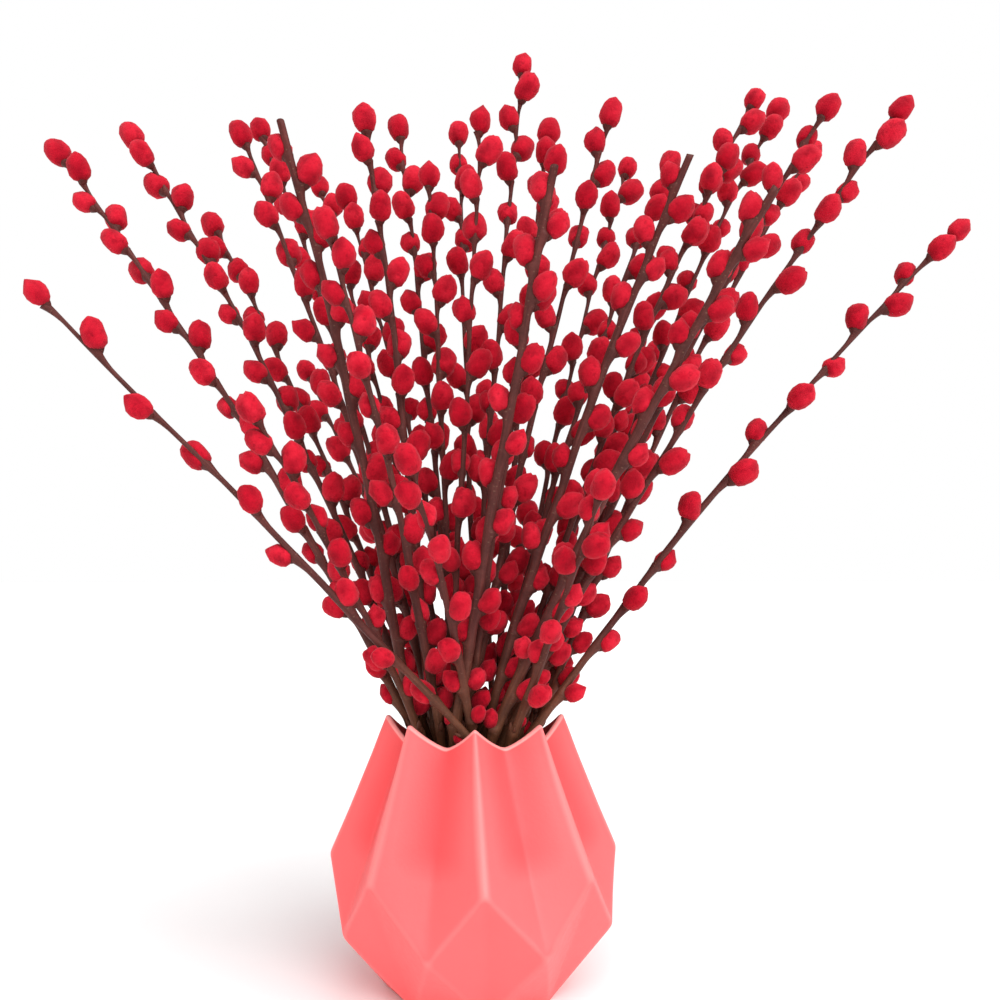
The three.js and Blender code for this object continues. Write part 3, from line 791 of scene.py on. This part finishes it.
def catkin_points(catkins, crumple):
    """All of a branch's catkins at once, as catkins by rings by sides. Each is an egg: at t of the way
    along, the radius is the catkin's radius times (1 - |2t - 1|^p)^(1/2), a little more near the
    base. Waves round it and along it make soft lobes, and the middle line bends to one side."""
    seeds = np.array([float(c["seed"]) for c in catkins])[:, None, None]
    phase = [2 * math.pi * scatter(seeds + 1, step) for step in (GOLDEN, PLASTIC, PLASTIC_SQUARE)]
    centre = np.array([c["centre"] for c in catkins])
    axis = np.array([c["axis"] for c in catkins])
    half = np.array([c["half"] for c in catkins])[:, None, None]
    full = np.array([c["radius"] for c in catkins])[:, None, None]
    t = 0.5 - 0.5 * np.cos(math.pi * (np.arange(CATKIN_RINGS) + 0.62) / (CATKIN_RINGS + 0.24))
    t = t[None, :, None]
    turn = np.linspace(0, 2 * math.pi, CATKIN_SIDES, endpoint=False)[None, None] + 0.3 * (t - 0.5)
    power = 2.0 + 0.7 * scatter(seeds, PLASTIC)
    egg = (1 - np.abs(2 * t - 1) ** power) ** 0.5 * (1.02 - 0.14 * (t - 0.35))
    pick = scatter(seeds, GOLDEN)
    egg = egg * np.where((pick < 0.3) & (t > 0.85), 0.78, 1)
    lobes = (0.4 * np.sin(2 * turn + phase[0] + 2.6 * t) + 0.5 * np.sin(3 * turn + phase[1] - 5 * t)
             + 0.3 * np.sin(7 * t + phase[2]))
    radius = full * egg * (1 + crumple * lobes)
    first, second = ring_frame(axis)
    spin = phase[2][:, 0]
    across = first * np.cos(spin) + second * np.sin(spin)
    other = np.cross(axis, across)
    bend = (0.22 * full * np.sin(phase[0]) * (2 * t - 1) ** 2)
    end = 0.94 + 0.06 * np.sin(phase[1] + 2 * turn)
    along = half * (2 * t - 1) * np.where(t > 0.8, end, 1)
    x = radius * np.cos(turn) + bend
    y = radius * np.sin(turn)
    rings = (centre[:, None, None] + along[..., None] * axis[:, None, None]
             + x[..., None] * across[:, None, None] + y[..., None] * other[:, None, None])
    sunk = np.where(pick > 0.62, 0.86, np.where(pick < 0.3, 1.05, 0.99))[:, 0]
    low = centre - axis * half[:, 0] + across * bend[:, 0]
    high = centre + axis * half[:, 0] * sunk + across * bend[:, -1]
    points = np.concatenate([low[:, None], rings.reshape(len(catkins), -1, 3), high[:, None]], 1)
    hollow = np.concatenate([np.zeros((len(catkins), 1)), lobes.reshape(len(catkins), -1),
                             np.full((len(catkins), 1), -0.3)], 1)
    way = np.broadcast_to(t, lobes.shape).reshape(len(catkins), -1)
    way = np.concatenate([np.zeros((len(catkins), 1)), way, np.ones((len(catkins), 1))], 1)
    return points, hollow, way


def catkin_mesh(parts, catkins, crumple):
    """A branch's catkins, with a tone for each, how far each point lies up the catkin and how deep in
    its lobes."""
    points, hollow, way = catkin_points(catkins, crumple)
    quads, triangles = many_faces(len(catkins), CATKIN_RINGS, CATKIN_SIDES)
    tone = np.array([scatter(c["seed"] * 3 + 1, GOLDEN) for c in catkins])
    tone = tone[:, None] * np.ones(points.shape[1])
    parts.add(points.reshape(-1, 3), quads, triangles, tone=tone.ravel(), hollow=hollow.ravel(),
              way=way.ravel())


# ---- Materials ----------------------------------------------------------------------------------


class Nodes:
    """A short way to write a node tree: add a node with settings, input values and links."""

    def __init__(self, tree):
        self.tree = tree

    def add(self, kind, inputs=None, **settings):
        node = self.tree.nodes.new(kind)
        for name, value in settings.items():
            setattr(node, name, value)
        return self.feed(node, inputs or {})

    def feed(self, node, inputs):
        """Links each input that is a socket and sets each one that is a value."""
        for socket, value in inputs.items():
            if isinstance(value, bpy.types.NodeSocket):
                self.tree.links.new(value, node.inputs[socket])
            else:
                node.inputs[socket].default_value = value
        return node

    def math(self, operation, a, b):
        return self.add("ShaderNodeMath", {0: a, 1: b}, operation=operation).outputs[0]

    def spread(self, value, low, high, to_low=0.0, to_high=1.0):
        """A value from one range to another, held at the ends."""
        return self.add("ShaderNodeMapRange", {"Value": value, "From Min": low, "From Max": high,
                                               "To Min": to_low, "To Max": to_high}).outputs[0]

    def blend(self, factor, a, b, kind="MIX"):
        node = self.add("ShaderNodeMix", data_type="RGBA", blend_type=kind)
        return self.feed(node, {0: factor, 6: a, 7: b}).outputs[2]

    def attribute(self, name, field="Fac"):
        return self.add("ShaderNodeAttribute", attribute_name=name).outputs[field]

    def noise(self, place, scale, detail=3.0, roughness=0.55):
        return self.add("ShaderNodeTexNoise", {"Vector": place, "Scale": scale, "Detail": detail,
                                               "Roughness": roughness}).outputs["Fac"]

    def stretched(self, place, scale):
        return self.add("ShaderNodeMapping", {"Vector": place, "Scale": scale}).outputs[0]

    def place(self):
        return self.add("ShaderNodeTexCoord").outputs["Object"]

    def bump(self, height, strength, distance):
        return self.add("ShaderNodeBump", {"Height": height, "Strength": strength,
                                           "Distance": distance}).outputs[0]


def group(name, inputs, outputs, fill):
    """A shader node group with named sockets, filled in by a function."""
    tree = bpy.data.node_groups.new(name, "ShaderNodeTree")
    for socket, kind, default in inputs:
        made = tree.interface.new_socket(socket, in_out="INPUT", socket_type=kind)
        if default is not None:
            made.default_value = default
    for socket, kind in outputs:
        tree.interface.new_socket(socket, in_out="OUTPUT", socket_type=kind)
    nodes = Nodes(tree)
    start = tree.nodes.new("NodeGroupInput")
    end = tree.nodes.new("NodeGroupOutput")
    for socket, value in fill(nodes, start.outputs).items():
        tree.links.new(value, end.inputs[socket])
    return tree


def mottle_group():
    """A colour that changes softly at two scales and a grain value, for glaze, bark and catkins."""
    tree = bpy.data.node_groups.get("soft_mottle")
    if tree:
        return tree

    def fill(nodes, given):
        broad = nodes.noise(given["Place"], given["Broad Scale"], 2.0)
        fine = nodes.noise(given["Place"], given["Fine Scale"], 4.0, 0.65)
        mixed = nodes.math("ADD", nodes.math("MULTIPLY", broad, 0.65),
                           nodes.math("MULTIPLY", fine, 0.35))
        factor = nodes.spread(mixed, 0.34, 0.66)
        return {"Colour": nodes.blend(factor, given["Dark"], given["Light"]), "Grain": fine}

    return group("soft_mottle",
                 [("Place", "NodeSocketVector", None), ("Dark", "NodeSocketColor", (0, 0, 0, 1)),
                  ("Light", "NodeSocketColor", (1, 1, 1, 1)), ("Broad Scale", "NodeSocketFloat", 40.0),
                  ("Fine Scale", "NodeSocketFloat", 400.0)],
                 [("Colour", "NodeSocketColor"), ("Grain", "NodeSocketFloat")], fill)


def start_material(name):
    """A new material with its node helper and its Principled shader."""
    material = bpy.data.materials.new(name)
    material.use_nodes = True
    nodes = Nodes(material.node_tree)
    return material, nodes, material.node_tree.nodes["Principled BSDF"]


def mottle(nodes, place, dark, light, broad, fine):
    """The mottle group placed in a material with its own values."""
    node = nodes.add("ShaderNodeGroup", node_tree=mottle_group())
    return nodes.feed(node, {"Place": place, "Dark": dark, "Light": light, "Broad Scale": broad,
                             "Fine Scale": fine}).outputs


def with_alpha(colour, gain=1.0):
    """A colour's three parts times a gain, with a full fourth part."""
    return (*(min(1.0, part * gain) for part in colour), 1.0)


def glaze_material(settings):
    """Glazed ceramic: a coral glaze, paler on the folds' edges and the rim, partly thinner glaze and
    partly painted highlight, darker in the valleys as painted shade, with tiny specks and a faint
    orange-peel surface."""
    material, nodes, shader = start_material("coral_glaze")
    place = nodes.place()
    made = mottle(nodes, place, with_alpha(settings.glaze, 0.94), with_alpha(settings.glaze, 1.04),
                  22.0, 260.0)
    edge = nodes.attribute("fold_edge")
    # painted highlight, partly thinner glaze: the folds' outstanding edges turn paler
    thin = nodes.spread(edge, 0.06, 0.4, 0.0, settings.edge_highlight_share)
    # painted shade: the glaze darkens the deeper a point lies in its fold's valley
    painted_valley_shade = nodes.spread(nodes.attribute("fold_depth"), 0.3, 1.0, 0.0, 0.85)
    colour = nodes.blend(thin, made["Colour"], with_alpha(settings.thin_glaze_and_highlight))
    colour = nodes.blend(painted_valley_shade, colour, with_alpha(settings.valley_shade_and_speck_glaze))
    # painted highlight, partly thinner glaze: the rim's lip turns paler
    rim = nodes.math("MULTIPLY", nodes.attribute("rim"), 0.8)
    colour = nodes.blend(rim, colour, with_alpha(settings.thin_glaze_and_highlight))
    # tiny specks, real marks, in the dark colour of the painted valley shade
    spots = nodes.add("ShaderNodeTexVoronoi", {"Vector": place, "Scale": 320.0}).outputs["Distance"]
    speck = nodes.math("MULTIPLY", nodes.spread(spots, 0.1, 0.04), 0.25)
    colour = nodes.blend(speck, colour, with_alpha(settings.valley_shade_and_speck_glaze, 0.8))
    nodes.tree.links.new(colour, shader.inputs["Base Color"])
    roughness = nodes.spread(made["Grain"], 0.3, 0.7, settings.gloss - 0.04, settings.gloss + 0.06)
    nodes.tree.links.new(roughness, shader.inputs["Roughness"])
    peel = nodes.noise(place, 620.0, 2.0)
    nodes.tree.links.new(nodes.bump(peel, 0.10, 0.0006), shader.inputs["Normal"])
    shader.inputs["Coat Weight"].default_value = 0.06
    shader.inputs["Coat Roughness"].default_value = 0.2
    shader.inputs["IOR"].default_value = 1.5
    return material


def bark_material(settings):
    """Dyed willow bark: olive brown near the foot, purple brown higher up and red brown at the tips,
    with streaks along the twig, pale pores across it, darker nodes and pale cut ends."""
    material, nodes, shader = start_material("dyed_bark")
    surface = nodes.attribute("surface", "Vector")
    rise = nodes.attribute("rise")
    ramp = nodes.add("ShaderNodeValToRGB", {"Fac": rise})
    stops = [(0.0, settings.foot_bark), (0.24, settings.foot_bark), (0.36, settings.middle_bark),
             (0.66, settings.middle_bark), (0.92, settings.tip_bark)]
    for position, colour in stops[1:-1]:
        ramp.color_ramp.elements.new(position)
    for element, (position, colour) in zip(ramp.color_ramp.elements, stops):
        element.position = position
        element.color = with_alpha(colour)
    streaks = nodes.noise(nodes.stretched(surface, (0.9, 0.9, 0.06)), 1.0, 4.0, 0.6)
    darker = nodes.blend(1.0, ramp.outputs["Color"], (0.5, 0.46, 0.46, 1.0), "MULTIPLY")
    lighter = nodes.blend(1.0, ramp.outputs["Color"], (1.45, 1.42, 1.4, 1.0), "MULTIPLY")
    made = mottle(nodes, surface, darker, lighter, 0.05, 0.9)
    colour = nodes.blend(nodes.spread(streaks, 0.35, 0.7, 0.0, 0.75), made["Colour"], darker)
    pores = nodes.add("ShaderNodeTexVoronoi", {"Vector": nodes.stretched(surface, (0.5, 0.5, 0.75)),
                                               "Scale": 0.7}).outputs["Distance"]
    pore = nodes.spread(pores, 0.2, 0.12, 0.0, 0.7)
    colour = nodes.blend(pore, colour, with_alpha(settings.pore))
    node_part = nodes.attribute("node_part")
    colour = nodes.blend(nodes.spread(node_part, 0.2, 1.0, 0.0, 0.62), colour,
                         with_alpha(settings.node_bark))
    cut = nodes.attribute("cut_face")
    wood = nodes.blend(nodes.noise(nodes.place(), 900.0), with_alpha(settings.cut_wood, 0.8),
                       with_alpha(settings.cut_wood))
    colour = nodes.blend(nodes.spread(cut, 0.3, 0.7), colour, wood)
    nodes.tree.links.new(colour, shader.inputs["Base Color"])
    nodes.tree.links.new(nodes.spread(streaks, 0.3, 0.7, 0.46, 0.66), shader.inputs["Roughness"])
    height = nodes.math("ADD", streaks, nodes.math("MULTIPLY", pore, 0.5))
    nodes.tree.links.new(nodes.bump(height, 0.35, 0.0006), shader.inputs["Normal"])
    shader.inputs["Specular IOR Level"].default_value = 0.2
    return material


def catkin_material(settings):
    """Dyed catkin down: a matt red nap, darker with painted shade in the hollows of its lobes, in the
    dips of its felt and at its base in the cup, a little paler where the nap catches light, with a fine
    felted bump."""
    material, nodes, shader = start_material("dyed_catkin_down")
    place = nodes.place()
    tone = nodes.attribute("tone")
    held = nodes.spread(tone, 0.0, 1.0)
    body = nodes.blend(held, with_alpha(settings.deep_red), with_alpha(settings.red))
    lit = nodes.blend(held, with_alpha(settings.red), with_alpha(settings.bright_red))
    made = mottle(nodes, place, body, lit, 170.0, 900.0)
    hollow = nodes.attribute("hollow")
    # painted shade, darker in the hollows of the lobes
    shade = nodes.spread(hollow, 0.1, -0.9, 0.0, 0.55)
    colour = nodes.blend(shade, made["Colour"], with_alpha(settings.crease_shade_red))
    way = nodes.attribute("way")
    # painted shade at the base, where the catkin sits in its cup
    base = nodes.spread(way, 0.16, 0.0, 0.0, 0.8)
    colour = nodes.blend(base, colour, with_alpha(settings.crease_shade_red))
    # painted shade in the felt's dips, where the bump's height is low
    tufts = nodes.noise(place, 330.0, 3.0, 0.6)
    colour = nodes.blend(nodes.spread(tufts, 0.46, 0.3, 0.0, 0.5), colour,
                         with_alpha(settings.crease_shade_red))
    nodes.tree.links.new(colour, shader.inputs["Base Color"])
    nodes.tree.links.new(nodes.spread(made["Grain"], 0.3, 0.7, 0.82, 0.97), shader.inputs["Roughness"])
    nap = nodes.noise(place, 1700.0, 3.0, 0.7)
    height = nodes.math("ADD", tufts, nodes.math("MULTIPLY", nap, 0.3))
    nodes.tree.links.new(nodes.bump(height, 0.5, 0.0016), shader.inputs["Normal"])
    shader.inputs["Specular IOR Level"].default_value = 0.08
    shader.inputs["Sheen Weight"].default_value = 0.22
    shader.inputs["Sheen Roughness"].default_value = 0.5
    shader.inputs["Sheen Tint"].default_value = (1.0, 0.36, 0.40, 1.0)
    return material


def floor_material(settings):
    """A plain pale floor, with a faint mottle."""
    material, nodes, shader = start_material("pale_floor")
    made = mottle(nodes, nodes.place(), with_alpha(settings.floor, 0.99), with_alpha(settings.floor),
                  3.0, 30.0)
    nodes.tree.links.new(made["Colour"], shader.inputs["Base Color"])
    shader.inputs["Roughness"].default_value = 0.9
    shader.inputs["Specular IOR Level"].default_value = 0.1
    return material


# ---- The bunch's layout, worked out once --------------------------------------------------------

LAYOUT = {}


def layout():
    """The stems, the catkins and the buds that stayed closed."""
    if not LAYOUT:
        stems = [Stem(i, branch, place)
                 for i, (branch, place) in enumerate(zip(BRANCHES, settle_neck()))]
        catkins, closed = grow_catkins(stems)
        check_layout(stems, catkins)
        LAYOUT.update(stems=stems, catkins=catkins, closed=closed)
    return LAYOUT["stems"], LAYOUT["catkins"], LAYOUT["closed"]


def mine(items, stem):
    """The catkins or buds that grow on a stem."""
    return [item for item in items if item["branch"] == stem.number]


def low_buds(stem):
    """Closed buds on the bare stretch above the neck, below the lowest catkin."""
    heights = (LOWEST_CATKIN + 5, LOWEST_CATKIN - 13)
    return [{"branch": stem.number, "z": z, "angle": 1.3 * stem.number + 2.5 * i,
             "seed": stem.number * 11 + i} for i, z in enumerate(heights)]


# ---- Settings -----------------------------------------------------------------------------------


def colour_property(name, description, default):
    """A colour setting."""
    return FloatVectorProperty(name=name, description=description, default=default, subtype="COLOR",
                               size=3, min=0, max=1)


class WillowVaseSettings(bpy.types.PropertyGroup):
    """Colours and gloss of the vase."""
    glaze: colour_property("Glaze", "Glaze on the flat faces", (0.97, 0.112, 0.116))
    # paler glaze for the painted highlight on edges and rim, partly thinner glaze there
    thin_glaze_and_highlight: colour_property("Thin glaze", "Glaze where it runs thin on edges", (0.98, 0.36, 0.34))
    # colour of the painted shade in the fold valleys, also used for the specks
    valley_shade_and_speck_glaze: colour_property("Pooled glaze", "Glaze where it gathers in valleys",
                                  (0.92, 0.052, 0.058))
    # how far the folds' edges take the painted highlight
    edge_highlight_share: FloatProperty(name="Edge paleness",
                                 description="How far edges turn to the thin glaze",
                                 default=0.38, min=0, max=1, subtype="FACTOR")
    gloss: FloatProperty(name="Roughness", description="Mean roughness of the glaze",
                         default=0.46, min=0.05, max=0.9, subtype="FACTOR")


class WillowTwigSettings(bpy.types.PropertyGroup):
    """Colours and swellings of the twigs."""
    foot_bark: colour_property("Foot bark", "Bark near the vase", (0.150, 0.060, 0.028))
    middle_bark: colour_property("Middle bark", "Bark half way up", (0.105, 0.026, 0.022))
    tip_bark: colour_property("Tip bark", "Bark near the tips", (0.110, 0.017, 0.014))
    node_bark: colour_property("Node bark", "Bark of nodes, cups and buds", (0.075, 0.017, 0.014))
    pore: colour_property("Pores", "Small pale pores", (0.16, 0.075, 0.05))
    cut_wood: colour_property("Cut wood", "Wood on a cut end", (0.30, 0.17, 0.11))
    flare: FloatProperty(name="Flare", description="Widening of a twig below a catkin",
                         default=2.5 * MM, min=0, max=4 * MM, unit="LENGTH")
    bud_length: FloatProperty(name="Bud length", description="Length of a closed bud",
                              default=5.2 * MM, min=2 * MM, max=9 * MM, unit="LENGTH")


class WillowCatkinSettings(bpy.types.PropertyGroup):
    """Colours and shape of the catkins."""
    deep_red: colour_property("Deep red", "The deepest body colour", (0.37, 0.0020, 0.013))
    red: colour_property("Red", "The usual body colour", (0.52, 0.0045, 0.020))
    bright_red: colour_property("Bright red", "The palest body colour", (0.68, 0.018, 0.040))
    # colour of the painted shade in creases, felt dips and at the base
    crease_shade_red: colour_property("Hollow red", "Colour in creases and at the base", (0.21, 0.0005, 0.008))
    crumple: FloatProperty(name="Crumple", description="Depth of the soft lobes",
                           default=0.09, min=0, max=0.3, subtype="FACTOR")


class WillowStageSettings(bpy.types.PropertyGroup):
    """Floor, light and camera."""
    floor: colour_property("Floor", "Floor and backdrop", (0.93, 0.93, 0.93))
    floor_size: FloatProperty(name="Floor size", description="Side of the floor",
                              default=12.0, unit="LENGTH")
    key_strength: FloatProperty(name="Key strength", description="Strength of the main light",
                                default=3.3, min=0)
    fill_strength: FloatProperty(name="Fill strength", description="Strength of the second light",
                                 default=0.5, min=0)
    sky: FloatProperty(name="Sky", description="Strength of the even light all round",
                       default=0.55, min=0)
    camera_at: FloatVectorProperty(name="Camera", description="Where the camera stands",
                                   default=(0.001, -0.5, 0.21), subtype="TRANSLATION", unit="LENGTH")
    camera_aim: FloatVectorProperty(name="Aim", description="What the camera looks at",
                                    default=(0.0125, 0.0, 0.2355), subtype="TRANSLATION", unit="LENGTH")
    lens: FloatProperty(name="Lens", description="Focal length in millimetres", default=35.7, min=10)


# ---- Operators ----------------------------------------------------------------------------------


class WILLOW_OT_vase(bpy.types.Operator):
    """Make the folded vase, its walls, lip and foot"""
    bl_idname = "willow.vase"
    bl_label = "Vase"

    def execute(self, context):
        parts = MeshParts(fold_edge=1, fold_depth=1, rim=1)
        vase_mesh(parts)
        piece = parts.build("vase_shell", glaze_material(context.scene.willow_vase))
        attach(piece, ROOT)
        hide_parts("vase")
        return {"FINISHED"}


class WILLOW_OT_twigs(bpy.types.Operator):
    """Make the twigs with their nodes, bud cups, closed buds and cut ends"""
    bl_idname = "willow.twigs"
    bl_label = "Twigs"

    def execute(self, context):
        settings = context.scene.willow_twigs
        material = bark_material(settings)
        stems, catkins, closed = layout()
        for stem in stems:
            own = mine(catkins, stem)
            buds = mine(closed, stem) + low_buds(stem)
            nodes = [{**c, "share": 1.0} for c in own] + [{**b, "share": BUD_FLARE_SHARE} for b in buds]
            parts = MeshParts(rise=1, cut_face=1, node_part=1, surface=3)
            twig_mesh(parts, stem, nodes, settings.flare / MM)
            bud_cups(parts, stem, own)
            closed_buds(parts, stem, buds, settings.bud_length / MM)
            piece = parts.build(f"twig_{stem.number + 1:02d}", material)
            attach(piece, ROOT)
            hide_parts(branch_node(stem))
        return {"FINISHED"}


class WILLOW_OT_catkins(bpy.types.Operator):
    """Make the catkins of every branch"""
    bl_idname = "willow.catkins"
    bl_label = "Catkins"

    def execute(self, context):
        settings = context.scene.willow_catkins
        material = catkin_material(settings)
        stems, catkins, _ = layout()
        for stem in stems:
            parts = MeshParts(tone=1, hollow=1, way=1)
            catkin_mesh(parts, mine(catkins, stem), settings.crumple)
            piece = parts.build(f"catkins_{stem.number + 1:02d}", material)
            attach(piece, ROOT)
            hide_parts(branch_node(stem))
        return {"FINISHED"}


def soft_sun(name, towards, strength, spread):
    """An even light from one side, as wide as the spread in degrees, which gives soft shadows."""
    lamp = bpy.data.lights.new(name, "SUN")
    lamp.energy = strength
    lamp.angle = math.radians(spread)
    light = bpy.data.objects.new(name, lamp)
    light.location = towards
    light.rotation_euler = (-Vector(towards)).to_track_quat("-Z", "Y").to_euler()
    bpy.context.scene.collection.objects.link(light)


class WILLOW_OT_stage(bpy.types.Operator):
    """Make the floor, the lights and the camera"""
    bl_idname = "willow.stage"
    bl_label = "Stage"

    def execute(self, context):
        scene = context.scene
        settings = scene.willow_stage
        reach = 0.5 * settings.floor_size
        corners = [(-reach, -reach, 0), (reach, -reach, 0), (reach, reach, 0), (-reach, reach, 0)]
        mesh = bpy.data.meshes.new("floor")
        mesh.from_pydata(corners, [], [(0, 1, 2, 3)])
        mesh.materials.append(floor_material(settings))
        floor = bpy.data.objects.new("floor", mesh)
        scene.collection.objects.link(floor)

        world = bpy.data.worlds.new("even_sky")
        world.use_nodes = True
        nodes = Nodes(world.node_tree)
        seen = nodes.add("ShaderNodeLightPath").outputs["Is Camera Ray"]
        background = world.node_tree.nodes["Background"]
        background.inputs["Color"].default_value = (1.0, 1.0, 1.0, 1.0)
        strength = nodes.spread(seen, 0.0, 1.0, settings.sky, 1.0)
        world.node_tree.links.new(strength, background.inputs["Strength"])
        scene.world = world
        soft_sun("key_light", (0.8, -0.95, 1.4), settings.key_strength, 70)
        soft_sun("fill_light", (-0.9, -0.6, 0.8), settings.fill_strength, 60)

        lens = bpy.data.cameras.new("camera")
        lens.lens = settings.lens
        lens.sensor_width = 36.0
        lens.clip_start = 0.01
        camera = bpy.data.objects.new("camera", lens)
        camera.location = settings.camera_at
        aim = Vector(settings.camera_aim) - Vector(settings.camera_at)
        camera.rotation_euler = aim.to_track_quat("-Z", "Y").to_euler()
        scene.collection.objects.link(camera)
        scene.camera = camera
        scene.view_settings.view_transform = "Standard"
        return {"FINISHED"}


class WILLOW_PT_bunch(bpy.types.Panel):
    """Sizes and colours of the bunch, and a button for each piece"""
    bl_idname = "WILLOW_PT_bunch"
    bl_label = "Willow bunch"
    bl_space_type = "VIEW_3D"
    bl_region_type = "UI"
    bl_category = "Willow"

    def draw(self, context):
        for operator, (name, settings_class) in zip(OPERATORS, SETTINGS.items()):
            box = self.layout.box()
            box.operator(operator.bl_idname)
            for setting in settings_class.__annotations__:
                box.prop(getattr(context.scene, name), setting)


SETTINGS = {
    "willow_stage": WillowStageSettings,
    "willow_vase": WillowVaseSettings,
    "willow_twigs": WillowTwigSettings,
    "willow_catkins": WillowCatkinSettings,
}
OPERATORS = (WILLOW_OT_stage, WILLOW_OT_vase, WILLOW_OT_twigs, WILLOW_OT_catkins)


def register():
    for settings_class in SETTINGS.values():
        bpy.utils.register_class(settings_class)
    for name, settings_class in SETTINGS.items():
        setattr(bpy.types.Scene, name, PointerProperty(type=settings_class))
    for shown in (*OPERATORS, WILLOW_PT_bunch):
        bpy.utils.register_class(shown)


def unregister():
    for shown in (WILLOW_PT_bunch, *reversed(OPERATORS)):
        bpy.utils.unregister_class(shown)
    for name, settings_class in SETTINGS.items():
        delattr(bpy.types.Scene, name)
        bpy.utils.unregister_class(settings_class)


def main():
    """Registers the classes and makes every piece."""
    register()
    bpy.ops.willow.stage()
    bpy.ops.willow.vase()
    bpy.ops.willow.twigs()
    bpy.ops.willow.catkins()


if __name__ == "__main__":
    main()
